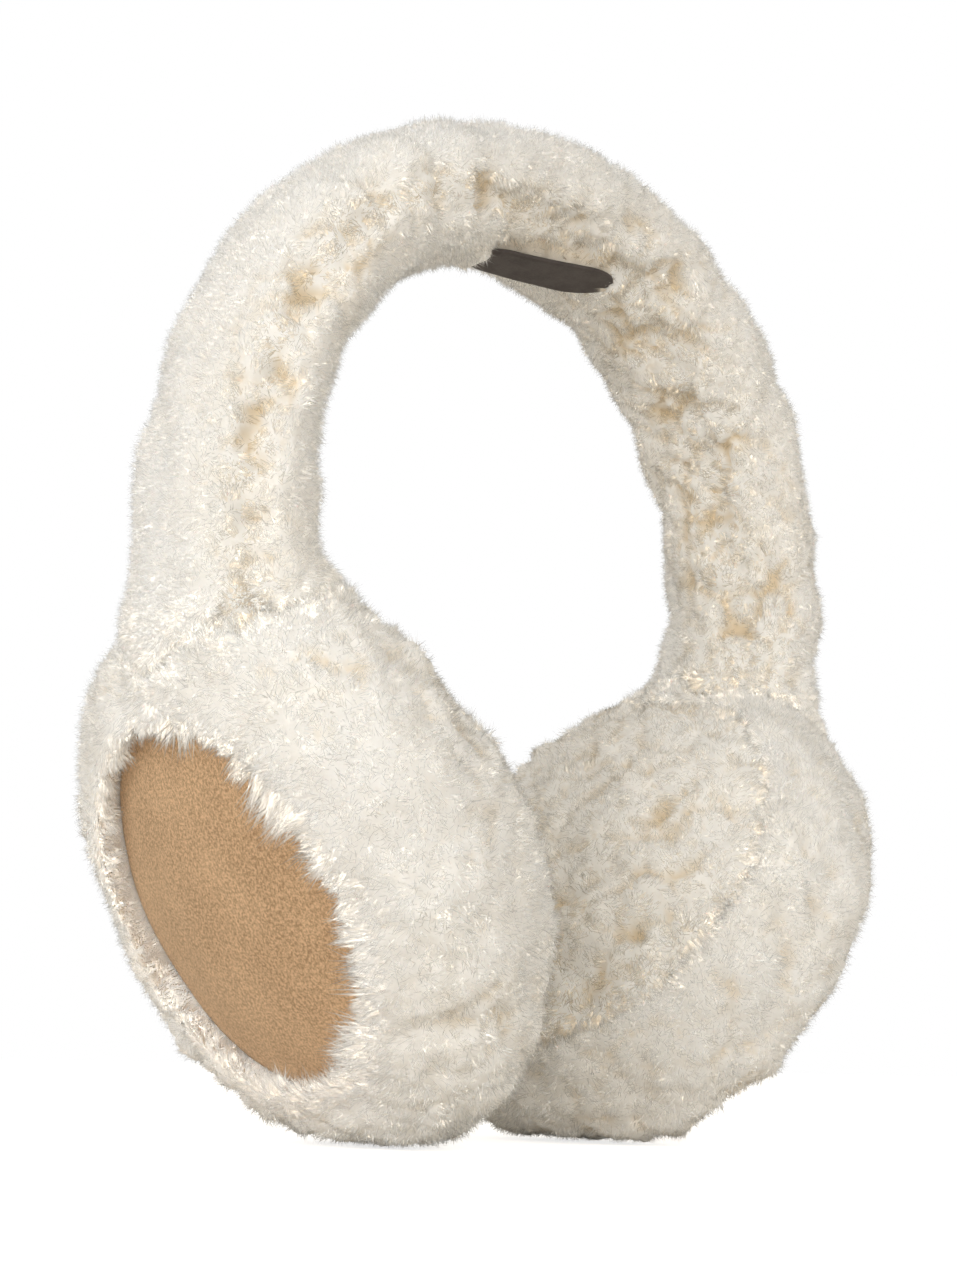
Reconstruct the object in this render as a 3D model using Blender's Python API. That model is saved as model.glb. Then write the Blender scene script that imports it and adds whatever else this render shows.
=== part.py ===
"""Sheepskin earmuffs: one wool sleeve sewn over a sprung headband, with a thick round cup at each end.

Metres, +Z up. The earmuffs stand on the flattened wool under the two cups, and lean a little to the front.
+X runs from cup to cup, the front is -Y, and the origin is on the surface that they stand on, midway
between the cups.
"""

import math

import bmesh
import bpy
import numpy as np
from mathutils import Matrix, Vector

# Headband: the centreline is an arc over the head and a slacker arc down each side
TOP_RADIUS = 0.0726
TOP_HALF_ANGLE = math.radians(83.7)
SIDE_RADIUS = 0.0861
SIDE_ANGLE = math.radians(25.3)
BAND_WIDTH = 0.0425
BAND_THICKNESS = 0.0290
BAND_FLARE_SHARE = 0.14
FLARE_LENGTH = 0.016
BAND_TUCK = 0.0060

# Cup: a round of wool about an axis that points outwards and down
CUP_DIAMETER = 0.1110
CUP_THICKNESS = 0.0528
CUP_ROUNDING_POWER = 2.34
CUP_TAPER_SHARE = 0.124
CUP_DEPTH_SHARE = 0.97
CUP_TILT = math.radians(29.5)
CUP_SINK = 0.0106
CUP_INSET = 0.0110
CUP_SET_BACK = 0.0034

# Stance: how far it leans to the front, and how much of the round wool is pressed flat under each cup
LEAN = math.radians(4.0)
FOOT_FLAT = 0.0031

# Suede disc in the outer face and wool panel on the ear's side
SUEDE_DIAMETER = 0.0754
SUEDE_THICKNESS = 0.0016
SUEDE_DEPTH = 0.0100
SUEDE_DOME = 0.0052
LIP_OVERHANG = 0.0034
LIP_ROUND = 0.0040
PAD_DIAMETER = 0.0860
PAD_SEAM_DEPTH = 0.0026
PAD_SEAM_WIDTH = 0.0050

# Wool locks, and the seam that closes the sleeve
LOCK_PITCH = 0.0125
LOCK_DEPTH = 0.0030
LOCK_SETTLE = 0.0005
SEAM_DEPTH = 0.0028
SEAM_WIDTH = 0.0075

# Leather tab sewn into the seam under the top of the band; its angle is measured as the seam's is
TAB_LENGTH = 0.0400
TAB_WIDTH = 0.0105
TAB_THICKNESS = 0.0013
TAB_SHIFT = -0.0030
TAB_PROUD = 0.0014
TAB_TUCK = 0.0012
TAB_ANGLE = math.radians(-77.0)
TAB_TWIST = math.radians(18.0)

# Space left between pieces that touch
CLEARANCE = 0.0003

# Mesh steps
BAND_RINGS = 64
BAND_SIDES = 24
CUP_SIDES = 54
GUSSET_ROWS = 15
PAD_ROWS = 6
SUEDE_ROWS = 3
TAB_RINGS = 14

WOOL = ("wool", (0.83, 0.79, 0.70), 0.95)
SUEDE = ("suede", (0.52, 0.34, 0.19), 0.95)
TAB_LEATHER = ("tab_leather", (0.085, 0.066, 0.060), 0.60)

# Where the sleeve's seam runs: side is the share of the half band from its top to an end, minus to the
# left, and angle is degrees round the section from the front, plus to the outside
SEAM_ROUTE = (
    {"side": -1.00, "angle": 38.0},
    {"side": -0.70, "angle": 26.0},
    {"side": -0.45, "angle": 14.0},
    {"side": -0.20, "angle": -25.0},
    {"side": 0.00, "angle": -54.0},
    {"side": 0.15, "angle": -58.0},
    {"side": 0.35, "angle": -73.0},
    {"side": 0.60, "angle": -80.0},
    {"side": 0.80, "angle": -64.0},
    {"side": 1.00, "angle": -50.0},
)


def clear_scene():
    for old in list(bpy.data.objects):
        bpy.data.objects.remove(old)


def make_material(name, colour, roughness):
    material = bpy.data.materials.new(name)
    material.use_nodes = True
    shader = material.node_tree.nodes["Principled BSDF"]
    shader.inputs["Base Color"].default_value = (*colour, 1.0)
    shader.inputs["Roughness"].default_value = roughness
    shader.inputs["Metallic"].default_value = 0.0
    material.diffuse_color = (*colour, 1.0)
    return material


def smooth_step(x):
    x = np.clip(x, 0.0, 1.0)
    return x * x * (3.0 - 2.0 * x)


def lattice_jitter(cells):
    """Three shares from 0 to 1 for each whole-numbered cell, the same on every run."""
    mixed = cells.astype(np.int64) @ np.array([73856093, 19349663, 83492791])
    shares = []
    for turn in (12289, 24593, 49157):
        value = (mixed ^ (mixed >> 13)) * turn & 0x7FFFFFFF
        shares.append((value ^ (value >> 11)) % 8191 / 8191.0)
    return np.stack(shares, axis=-1)


def lock_relief(points):
    """How far the rounded top of the nearest wool lock stands off the pelt at each point."""
    places = np.asarray(points) / LOCK_PITCH
    base = np.floor(places).astype(int)
    nearest = np.full(len(places), 9.0)
    for step in np.ndindex(3, 3, 3):
        cell = base + np.array(step) - 1
        tip = cell + lattice_jitter(cell)
        nearest = np.minimum(nearest, np.linalg.norm(places - tip, axis=1))
    dome = 1.0 - np.minimum(nearest / 0.85, 1.0) ** 2
    return LOCK_DEPTH * (dome - 0.5) - LOCK_SETTLE


def ring_mesh(name, rings, capped):
    """A closed mesh through equal rings of points, capped at both ends or closed on itself."""
    shape = bmesh.new()
    made = [[shape.verts.new(p) for p in ring] for ring in rings]
    pairs = list(zip(made, made[1:]))
    if not capped:
        pairs.append((made[-1], made[0]))
    sides = len(made[0])
    for low, high in pairs:
        for i in range(sides):
            j = (i + 1) % sides
            shape.faces.new((low[i], low[j], high[j], high[i]))
    if capped:
        for ring in (made[0], made[-1]):
            centre = shape.verts.new(sum((v.co for v in ring), Vector()) / sides)
            for i in range(sides):
                shape.faces.new((ring[i], ring[(i + 1) % sides], centre))
    bmesh.ops.recalc_face_normals(shape, faces=shape.faces)
    bmesh.ops.triangulate(shape, faces=shape.faces)
    mesh = bpy.data.meshes.new(name)
    shape.to_mesh(mesh)
    shape.free()
    mesh.shade_smooth()
    return mesh


def place(name, mesh, parent, material=None):
    piece = bpy.data.objects.new(name, mesh)
    bpy.context.scene.collection.objects.link(piece)
    piece.parent = parent
    if material and not mesh.materials:
        mesh.materials.append(material)
    return piece


def make_cutter(name, mesh, parent, cut_piece):
    """A hidden solid that is cut out of cut_piece."""
    cutter = place(name, mesh, parent)
    cutter.hide_render = True
    cutter.display_type = "WIRE"
    cut = cut_piece.modifiers.new(name, "BOOLEAN")
    cut.operation = "DIFFERENCE"
    cut.object = cutter


def make_empty(name, matrix):
    empty = bpy.data.objects.new(name, None)
    bpy.context.scene.collection.objects.link(empty)
    empty.matrix_world = matrix
    return empty


# Headband centreline, measured from the centre of the top arc

HALF_LENGTH = TOP_RADIUS * TOP_HALF_ANGLE + SIDE_RADIUS * SIDE_ANGLE


def centreline(distance):
    """The point and the unit vector away from the head, this far along the band from its top."""
    way = 1.0 if distance >= 0 else -1.0
    angle = abs(distance) / TOP_RADIUS
    if angle <= TOP_HALF_ANGLE:
        centre = Vector((0.0, 0.0, 0.0))
        radius = TOP_RADIUS
    else:
        angle = TOP_HALF_ANGLE + (abs(distance) - TOP_RADIUS * TOP_HALF_ANGLE) / SIDE_RADIUS
        radius = SIDE_RADIUS
        back = TOP_RADIUS - SIDE_RADIUS
        centre = Vector((back * math.sin(TOP_HALF_ANGLE), 0.0, back * math.cos(TOP_HALF_ANGLE)))
    outward = Vector((math.sin(angle), 0.0, math.cos(angle)))
    point = centre + outward * radius
    return Vector((way * point.x, 0.0, point.z)), Vector((way * outward.x, 0.0, outward.z))


def section_point(distance, angle, grow=1.0):
    """A point of the band's oval section, and the section's unit normal there. angle 0 is the front."""
    centre, outward = centreline(distance)
    half_width = BAND_WIDTH / 2 * grow
    half_thickness = BAND_THICKNESS / 2 * grow
    forward = Vector((0.0, -1.0, 0.0))
    point = centre + forward * (half_width * math.cos(angle)) + outward * (half_thickness * math.sin(angle))
    normal = forward * (math.cos(angle) / half_width) + outward * (math.sin(angle) / half_thickness)
    return point, normal.normalized()


def seam_angle(distance):
    sides = [row["side"] * HALF_LENGTH for row in SEAM_ROUTE]
    angles = [row["angle"] for row in SEAM_ROUTE]
    return math.radians(float(np.interp(distance, sides, angles)))


def sleeve_rings():
    """Rings of the wool sleeve, each starting on the seam, with its locks and the seam's furrow."""
    reach = HALF_LENGTH + BAND_TUCK
    rings = []
    for distance in np.linspace(-reach, reach, BAND_RINGS):
        into_flare = smooth_step((abs(distance) - HALF_LENGTH + FLARE_LENGTH) / FLARE_LENGTH)
        grow = 1.0 + BAND_FLARE_SHARE * float(into_flare)
        start = seam_angle(distance)
        turns = np.linspace(0.0, 2.0 * math.pi, BAND_SIDES, endpoint=False)
        made = [section_point(distance, start + turn, grow) for turn in turns]
        points = np.array([p for p, _ in made])
        normals = np.array([n for _, n in made])
        gap = np.linalg.norm(points - points[0], axis=1)
        furrow = SEAM_DEPTH * np.exp(-((gap / (SEAM_WIDTH / 2)) ** 2))
        rings.append(points + normals * (lock_relief(points) - furrow)[:, None])
    return rings


def tab_rings(spare, outer):
    """Rings of the leather tab: spare grows it on every side, and outer adds to its outer face."""
    half = TAB_LENGTH / 2 + spare
    rings = []
    for along in np.linspace(-half, half, TAB_RINGS):
        point, normal = section_point(TAB_SHIFT + along, TAB_ANGLE + TAB_TWIST * along / TAB_LENGTH)
        across = (Vector((0.0, 1.0, 0.0)) - normal * normal.y).normalized()
        bow = 1.0 - (along / half) ** 2
        face = -TAB_TUCK + (TAB_PROUD + TAB_TUCK) * bow
        high = normal * (face + spare + outer)
        low = normal * (face - TAB_THICKNESS - spare)
        side = across * (TAB_WIDTH / 2 + spare)
        rings.append([point + low - side, point + low + side, point + high + side, point + high - side])
    return rings


# Cup, in its own frame: +Z is the axis that points away from the head, and +Y points up to the band

def hull_profile(turn):
    """Radius and height of the round's section at this angle from its rim, plus towards the outer face."""
    power = 2.0 / CUP_ROUNDING_POWER
    sine = math.sin(turn)
    radius = CUP_DIAMETER / 2 * math.cos(turn) ** power * (1.0 + CUP_TAPER_SHARE * sine)
    height = math.copysign(CUP_THICKNESS / 2 * abs(sine) ** power, sine)
    return radius, height


def turn_at_radius(radius, way):
    """The hull angle where the section has this radius: on the outer face if way is 1, the inner if -1."""
    low, high = 0.2, math.pi / 2
    for _ in range(40):
        middle = (low + high) / 2
        if hull_profile(way * middle)[0] > radius:
            low = middle
        else:
            high = middle
    return way * (low + high) / 2


SUEDE_RADIUS = SUEDE_DIAMETER / 2
PAD_RADIUS = PAD_DIAMETER / 2
SUEDE_EDGE = CUP_THICKNESS / 2 - SUEDE_DEPTH
SUEDE_UNDER = SUEDE_EDGE - SUEDE_THICKNESS - CLEARANCE
LIP_RADIUS = SUEDE_RADIUS - LIP_OVERHANG
PAD_TURN = turn_at_radius(PAD_RADIUS, -1)
PAD_SEAM = hull_profile(PAD_TURN)[1] + PAD_SEAM_DEPTH


def revolve(profile):
    """Rings of points round the cup's axis, one ring for each radius and height of the profile."""
    rings = []
    for radius, height in profile:
        ring = []
        for step in range(CUP_SIDES):
            angle = 2.0 * math.pi * step / CUP_SIDES
            ring.append((radius * math.cos(angle) * CUP_DEPTH_SHARE, radius * math.sin(angle), height))
        rings.append(np.array(ring))
    return rings


def woolly(rings, spare=0.0):
    """The rings pushed out along their own normals by the wool locks, and by spare more."""
    grid = np.array(rings)
    along = np.gradient(grid, axis=0)
    around = (np.roll(grid, -1, axis=1) - np.roll(grid, 1, axis=1)) / 2
    normals = np.cross(around, along)
    normals /= np.maximum(np.linalg.norm(normals, axis=2, keepdims=True), 1e-12)
    middle = grid.mean(axis=(0, 1))
    if np.sum(normals * (grid - middle)) < 0:
        normals = -normals
    relief = lock_relief(grid.reshape(-1, 3)).reshape(grid.shape[:2])
    return grid + normals * (relief + spare)[..., None]


def wool_profile():
    """The gusset's wool surface, from its lip round the suede, over the rim, to the ear panel's seam."""
    lip_turn = turn_at_radius(LIP_RADIUS + LIP_ROUND, 1)
    profile = []
    for turn in np.linspace(lip_turn, PAD_TURN, GUSSET_ROWS):
        radius, height = hull_profile(turn)
        to_seam = (radius - PAD_RADIUS) if turn < 0 else CUP_DIAMETER
        dip = PAD_SEAM_DEPTH * (1.0 - float(smooth_step(to_seam / PAD_SEAM_WIDTH)))
        profile.append((radius, height + dip))
    return profile


def stand_on_floor(rings, matrix):
    """The rings with what lies under the floor pressed flat onto it."""
    back = matrix.inverted()
    pressed = []
    for ring in rings:
        standing = [matrix @ Vector(p) for p in ring]
        pressed.append([back @ Vector((p.x, p.y, max(p.z, 0.0))) for p in standing])
    return pressed


def gusset_rings(matrix):
    wool = woolly(revolve(wool_profile()))
    wool[-1] = revolve([(PAD_RADIUS + CLEARANCE, PAD_SEAM)])[0]
    crest = hull_profile(turn_at_radius(LIP_RADIUS, 1))[1]
    lip = [
        (SUEDE_RADIUS + CLEARANCE, SUEDE_UNDER),
        (SUEDE_RADIUS + CLEARANCE, SUEDE_EDGE + CLEARANCE * 2),
        (LIP_RADIUS, (SUEDE_EDGE + SUEDE_DOME + crest) / 2),
        (LIP_RADIUS + LIP_ROUND * 0.3, crest - LIP_ROUND * 0.2),
    ]
    return stand_on_floor(revolve(lip) + list(wool), matrix)


def gusset_cutter_rings():
    """The gusset's outside, filled in and grown by the clearance: the sleeve's ends are cut to it."""
    return list(woolly(revolve(wool_profile()), CLEARANCE))


def dome_profile(edge_height):
    """The suede's dome from near its middle to its edge, with the edge at this height."""
    profile = []
    for share in np.linspace(1.0 / SUEDE_ROWS, 1.0, SUEDE_ROWS):
        profile.append((SUEDE_RADIUS * share, edge_height + SUEDE_DOME * (1.0 - share**2)))
    return profile


def ear_pad_rings():
    """The domed wool panel on the ear's side, and the stuffing behind it up to the suede."""
    rows = np.linspace(PAD_TURN, -math.pi / 2, PAD_ROWS + 1)[:-1]
    dome = []
    for turn in rows:
        radius, height = hull_profile(turn)
        dip = PAD_SEAM_DEPTH * (1.0 - float(smooth_step((PAD_RADIUS - radius) / PAD_SEAM_WIDTH)))
        dome.append((radius, height + dip))
    wool = woolly(revolve(dome))
    wool[0] = revolve([(PAD_RADIUS, PAD_SEAM)])[0]
    return revolve(dome_profile(SUEDE_UNDER)) + list(wool)


def suede_rings():
    """The padded disc of suede: a domed wall of even thickness."""
    outer = dome_profile(SUEDE_EDGE)
    inner = dome_profile(SUEDE_EDGE - SUEDE_THICKNESS)
    return revolve(outer + inner[::-1])


def lowest_of_cup(matrix):
    profile = [hull_profile(turn) for turn in np.linspace(-math.pi / 2, math.pi / 2, 181)]
    return min((matrix @ Vector(p)).z for ring in revolve(profile) for p in ring)


def cup_frame(way):
    """A cup's frame beside the upright band. way is 1 for the right cup and -1 for the left."""
    end, outward = centreline(way * HALF_LENGTH)
    down = Vector((way * outward.z, 0.0, -way * outward.x))
    axis = Vector((way * math.cos(CUP_TILT), 0.0, -math.sin(CUP_TILT)))
    up = Vector((way * math.sin(CUP_TILT), 0.0, math.cos(CUP_TILT)))
    centre = end + down * (CUP_DIAMETER / 2 - CUP_SINK) - outward * CUP_INSET
    centre.y += CUP_SET_BACK
    turned = Matrix((up.cross(axis), up, axis)).transposed().to_4x4()
    return Matrix.Translation(centre) @ turned


def stance():
    """The move that leans the upright earmuffs about the line through both cups, down on the floor."""
    cup = cup_frame(1)
    lean = Matrix.Rotation(LEAN, 4, "X") @ Matrix.Translation((0.0, -cup.translation.y, -cup.translation.z))
    return Matrix.Translation((0.0, 0.0, -lowest_of_cup(lean @ cup) - FOOT_FLAT)) @ lean


def build_cup(side, matrix, shared, materials):
    frame = make_empty(f"{side}_cup_frame", matrix)
    wool, suede = materials
    gusset = ring_mesh(f"{side}_cup_gusset", gusset_rings(matrix), capped=False)
    place(f"{side}_cup_gusset", gusset, frame, wool)
    place(f"{side}_ear_pad", shared["ear_pad"], frame, wool)
    place(f"{side}_suede_disc", shared["suede_disc"], frame, suede)
    return frame


def build():
    clear_scene()
    wool = make_material(*WOOL)
    suede = make_material(*SUEDE)
    leather = make_material(*TAB_LEATHER)

    stand = stance()
    band = make_empty("band_frame", stand)
    sleeve = place("headband_sleeve", ring_mesh("headband_sleeve", sleeve_rings(), capped=True), band, wool)
    place("leather_tab", ring_mesh("leather_tab", tab_rings(0.0, 0.0), capped=True), band, leather)
    pocket = ring_mesh("tab_pocket", tab_rings(CLEARANCE, BAND_THICKNESS / 4), capped=True)
    make_cutter("tab_pocket", pocket, band, sleeve)

    shared = {
        "ear_pad": ring_mesh("ear_pad", ear_pad_rings(), capped=True),
        "suede_disc": ring_mesh("suede_disc", suede_rings(), capped=True),
    }
    cutter = ring_mesh("sleeve_cut", gusset_cutter_rings(), capped=True)
    for side, way in (("left", -1), ("right", 1)):
        frame = build_cup(side, stand @ cup_frame(way), shared, (wool, suede))
        make_cutter(f"{side}_sleeve_cut", cutter, frame, sleeve)


build()
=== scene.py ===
"""Dresses the sheepskin earmuffs: curly cream wool, two suede discs and a leather tab, in a pale studio.

Metres, +Z up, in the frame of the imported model. The wool is made in two layers. A pelt follows each wool
solid, with its soft locks raised on it, and a pile of short tapered fibres grows from the pelt, gathered
into tufts. The suede and the tab are modelled again at a finer step than their solids.
"""

import math

import bmesh
import bpy
import numpy as np
from mathutils import Matrix, Vector
from mathutils.bvhtree import BVHTree


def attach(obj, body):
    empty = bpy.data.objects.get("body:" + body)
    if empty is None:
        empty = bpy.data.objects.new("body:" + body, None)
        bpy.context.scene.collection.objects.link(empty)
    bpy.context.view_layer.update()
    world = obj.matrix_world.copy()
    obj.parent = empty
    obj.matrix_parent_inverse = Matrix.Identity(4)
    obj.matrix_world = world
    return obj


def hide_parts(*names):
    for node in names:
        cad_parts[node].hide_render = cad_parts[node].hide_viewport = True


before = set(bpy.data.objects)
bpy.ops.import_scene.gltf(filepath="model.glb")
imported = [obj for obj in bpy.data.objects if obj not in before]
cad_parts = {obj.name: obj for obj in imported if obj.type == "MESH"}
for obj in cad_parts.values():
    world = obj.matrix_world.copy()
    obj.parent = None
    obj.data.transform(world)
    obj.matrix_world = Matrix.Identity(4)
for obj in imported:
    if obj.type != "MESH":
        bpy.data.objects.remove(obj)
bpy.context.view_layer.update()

MM = 0.001

# Camera, at the photograph's place. The picture is 957 by 1276, and its middle is a little off the lens axis
PICTURE_HEIGHT = 1276
PICTURE_MIDDLE_X = -10.97
CAMERA_PLACE = Vector((-0.2449, -0.2572, 0.0153))
CAMERA_TARGET = Vector((0.0, 0.0, 0.1))
CAMERA_ROLL = math.radians(1.07)
LENS = 50.06
SENSOR = 36.0

# Headband, as the solid is laid out: a top arc and a slacker arc down each side, leaning to the front
BAND_CENTRE = Vector((0.0, -0.00816, 0.11789))
LEAN = math.radians(4.0)
TOP_RADIUS = 72.6 * MM
TOP_HALF_ANGLE = math.radians(83.7)
SIDE_RADIUS = 86.1 * MM
SIDE_ANGLE = math.radians(25.3)
BAND_WIDTH = 42.5 * MM
BAND_THICKNESS = 29.0 * MM
HALF_LENGTH = TOP_RADIUS * TOP_HALF_ANGLE + SIDE_RADIUS * SIDE_ANGLE

# The sleeve's seam: side is the share of the half band from its top, minus to the left, and angle is
# degrees round the section from the front, plus to the outside
SEAM_ROUTE = (
    {"side": -1.00, "angle": 38.0},
    {"side": -0.70, "angle": 26.0},
    {"side": -0.45, "angle": 14.0},
    {"side": -0.20, "angle": -25.0},
    {"side": 0.00, "angle": -54.0},
    {"side": 0.15, "angle": -58.0},
    {"side": 0.35, "angle": -73.0},
    {"side": 0.60, "angle": -80.0},
    {"side": 0.80, "angle": -64.0},
    {"side": 1.00, "angle": -50.0},
)

# Leather tab
TAB_LENGTH = 40.0 * MM
TAB_WIDTH = 10.5 * MM
TAB_THICKNESS = 1.3 * MM
TAB_LEFT_CORNER = 5.0 * MM
TAB_RIGHT_CORNER = 12.0 * MM
TAB_SHIFT = -3.0 * MM
TAB_PROUD = 1.4 * MM
TAB_TUCK = 1.2 * MM
TAB_ANGLE = math.radians(-77.0)
TAB_TWIST = math.radians(18.0)
TAB_EDGE_ROUND = 0.45 * MM
TAB_CROWN = 0.12 * MM
TAB_END_FILL = 2.4 * MM

# Suede disc: the cup and its disc are a little less deep from front to back than they are high
SUEDE_RADIUS = 37.7 * MM
SUEDE_DOME = 5.2 * MM
SUEDE_THICKNESS = 1.6 * MM
CUP_DEPTH_SHARE = 0.97

# Pelt: its foot stays a little clear of the floor, and so do the fibres
PELT_FLOOR_GAP = 0.2 * MM
FIBRE_FLOOR_GAP = 0.05 * MM
PELT_STEP = 1.35 * MM
PELT_SINK = 1.3 * MM
JOINT_FILL = 1.8 * MM
LIP_SWELL = 1.8 * MM
LARGE_LOCK_PITCH = 8.5 * MM
LARGE_LOCK_HEIGHT = 2.8 * MM
MIDDLE_LOCK_PITCH = 4.4 * MM
MIDDLE_LOCK_HEIGHT = 1.8 * MM
SMALL_LOCK_PITCH = 2.9 * MM
SMALL_LOCK_HEIGHT = 0.6 * MM
DRIFT_PITCH = 16.0 * MM
DRIFT_HEIGHT = 0.5 * MM

# Pile: a fibre's lean is in degrees from straight up out of the wool
FIBRE_WIDTH = 0.27 * MM
FIBRE_LENGTH = 2.1 * MM
ROOT_DEPTH = 0.4 * MM
LEAST_LEAN = 36.0
LEAN_SPREAD = 26.0
TUFT_PITCH = 4.0 * MM
LOCK_PITCH = 8.0 * MM
FRINGE_TUFT_PITCH = 4.2 * MM
FRINGE_LENGTH = 2.2 * MM
FRINGE_FRONT_LENGTH = 4.6 * MM
SLEEVE_FIBRES = 150000
GUSSET_FIBRES = 64000
PAD_FIBRES = 32000
FRINGE_FIBRES = 10000
SLEEVE_SEED = 5
CUP_SEEDS = {"left": 17, "right": 29}

# Colours: a light and a deep tone of each, with the wool's tan, which is partly its own tan roots and partly
# painted shade in its hollows, and the suede's sheen
CREAM_LIGHT = (0.925, 0.92, 0.90)
CREAM_DEEP = (0.90, 0.88, 0.84)
TAN_AND_SHADE_COLOUR = (0.68, 0.56, 0.39)
SUEDE_LIGHT = (0.90, 0.61, 0.36)
SUEDE_DEEP = (0.38, 0.22, 0.11)
SUEDE_SHEEN = (0.95, 0.80, 0.60)
LEATHER_LIGHT = (0.075, 0.060, 0.055)
LEATHER_DEEP = (0.052, 0.041, 0.037)


# Sums that the wool is shaped by


def smooth_step(x):
    x = np.clip(x, 0.0, 1.0)
    return x * x * (3.0 - 2.0 * x)


def unit(vectors):
    return vectors / np.maximum(np.linalg.norm(vectors, axis=-1, keepdims=True), 1e-9)


def cell_shares(cells, seed):
    """Three shares from 0 to 1 for each whole-numbered cell, the same on every run."""
    mixed = cells.astype(np.int64) @ np.array([73856093, 19349663, 83492791]) + seed * 7919
    shares = []
    for turn in (12289, 24593, 49157):
        value = (mixed ^ (mixed >> 13)) * turn & 0x7FFFFFFF
        shares.append((value ^ (value >> 11)) % 8191 / 8191.0)
    return np.stack(shares, axis=-1)


def soft_noise(points, pitch, seed):
    """Smooth noise from -1 to 1 that changes over about one pitch."""
    places = points / pitch
    base = np.floor(places).astype(np.int64)
    part = smooth_step(places - base)
    total = np.zeros(len(points))
    for corner in np.ndindex(2, 2, 2):
        step = np.array(corner)
        weight = np.prod(np.where(step, part, 1.0 - part), axis=1)
        total += weight * cell_shares(base + step, seed)[:, 0]
    return total * 2.0 - 1.0


def nearest_locks(points, pitch, seed):
    """Each point's lock: its middle, three shares of its own, and the gaps to it and to the next lock."""
    places = points / pitch
    base = np.floor(places).astype(np.int64)
    first = np.full(len(points), 9.0)
    second = np.full(len(points), 9.0)
    middle = np.zeros_like(places)
    shares = np.zeros_like(places)
    for step in np.ndindex(3, 3, 3):
        cell = base + np.array(step) - 1
        tip = cell + cell_shares(cell, seed)
        gap = np.linalg.norm(places - tip, axis=1)
        closer = gap < first
        second = np.where(closer, first, np.minimum(second, gap))
        first = np.where(closer, gap, first)
        middle[closer] = tip[closer]
        shares[closer] = cell_shares(cell[closer], seed + 1)
    return middle * pitch, shares, first, second


def warped(points, pitch, reach, seed):
    """The points shifted smoothly by up to reach, so that no lattice shows in what is made from them."""
    shift = [soft_noise(points, pitch, seed + k) for k in range(3)]
    return points + np.stack(shift, axis=-1) * reach


# The band's own measures


def seam_angle(distance):
    sides = [row["side"] * HALF_LENGTH for row in SEAM_ROUTE]
    angles = [math.radians(row["angle"]) for row in SEAM_ROUTE]
    return np.interp(distance, sides, angles)


def centreline(distance):
    """The point and the unit vector away from the head, this far along the upright band from its top."""
    way = 1.0 if distance >= 0 else -1.0
    angle = abs(distance) / TOP_RADIUS
    centre = Vector((0.0, 0.0, 0.0))
    radius = TOP_RADIUS
    if angle > TOP_HALF_ANGLE:
        angle = TOP_HALF_ANGLE + (abs(distance) - TOP_RADIUS * TOP_HALF_ANGLE) / SIDE_RADIUS
        radius = SIDE_RADIUS
        back = TOP_RADIUS - SIDE_RADIUS
        centre = Vector((back * math.sin(TOP_HALF_ANGLE), 0.0, back * math.cos(TOP_HALF_ANGLE)))
    outward = Vector((math.sin(angle), 0.0, math.cos(angle)))
    point = centre + outward * radius
    return Vector((way * point.x, 0.0, point.z)), Vector((way * outward.x, 0.0, outward.z))


def section_point(distance, angle):
    """A point of the band's oval section and the unit normal there. angle 0 is the front."""
    centre, outward = centreline(distance)
    forward = Vector((0.0, -1.0, 0.0))
    wide = BAND_WIDTH / 2
    thick = BAND_THICKNESS / 2
    point = centre + forward * (wide * math.cos(angle)) + outward * (thick * math.sin(angle))
    normal = forward * (math.cos(angle) / wide) + outward * (math.sin(angle) / thick)
    return point, normal.normalized()


STANCE = Matrix.Translation(BAND_CENTRE) @ Matrix.Rotation(LEAN, 4, "X")


def band_places(points):
    """How far along the band each point is, and its angle round the section, 0 at the front."""
    back = np.array(STANCE.inverted())
    upright = points @ back[:3, :3].T + back[:3, 3]
    side = np.abs(upright[:, 0])
    angle = np.arctan2(side, upright[:, 2])
    radius = np.hypot(side, upright[:, 2])
    along = angle * TOP_RADIUS
    out = radius - TOP_RADIUS
    drop = TOP_RADIUS - SIDE_RADIUS
    low_side = side - drop * math.sin(TOP_HALF_ANGLE)
    low_up = upright[:, 2] - drop * math.cos(TOP_HALF_ANGLE)
    low_angle = np.arctan2(low_side, low_up)
    low = low_angle > TOP_HALF_ANGLE
    along = np.where(low, TOP_RADIUS * TOP_HALF_ANGLE + (low_angle - TOP_HALF_ANGLE) * SIDE_RADIUS, along)
    out = np.where(low, np.hypot(low_side, low_up) - SIDE_RADIUS, out)
    along *= np.sign(upright[:, 0])
    turn = np.arctan2(out / (BAND_THICKNESS / 2), -upright[:, 1] / (BAND_WIDTH / 2))
    return along, turn


def seam_gap(points):
    """How far each point is from the sleeve's seam, round the band."""
    along, turn = band_places(points)
    apart = turn - seam_angle(along)
    apart = (apart + math.pi) % (2.0 * math.pi) - math.pi
    return np.abs(apart) * (BAND_WIDTH + BAND_THICKNESS) / 4


# Camera, light and floor


def make_camera():
    camera = bpy.data.objects.new("camera", bpy.data.cameras.new("camera"))
    bpy.context.scene.collection.objects.link(camera)
    aim = (CAMERA_TARGET - CAMERA_PLACE).to_track_quat("-Z", "Y").to_matrix().to_4x4()
    camera.matrix_world = Matrix.Translation(CAMERA_PLACE) @ aim @ Matrix.Rotation(CAMERA_ROLL, 4, "Z")
    camera.data.lens = LENS
    camera.data.sensor_width = SENSOR
    camera.data.shift_x = PICTURE_MIDDLE_X / PICTURE_HEIGHT
    bpy.context.scene.camera = camera


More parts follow.
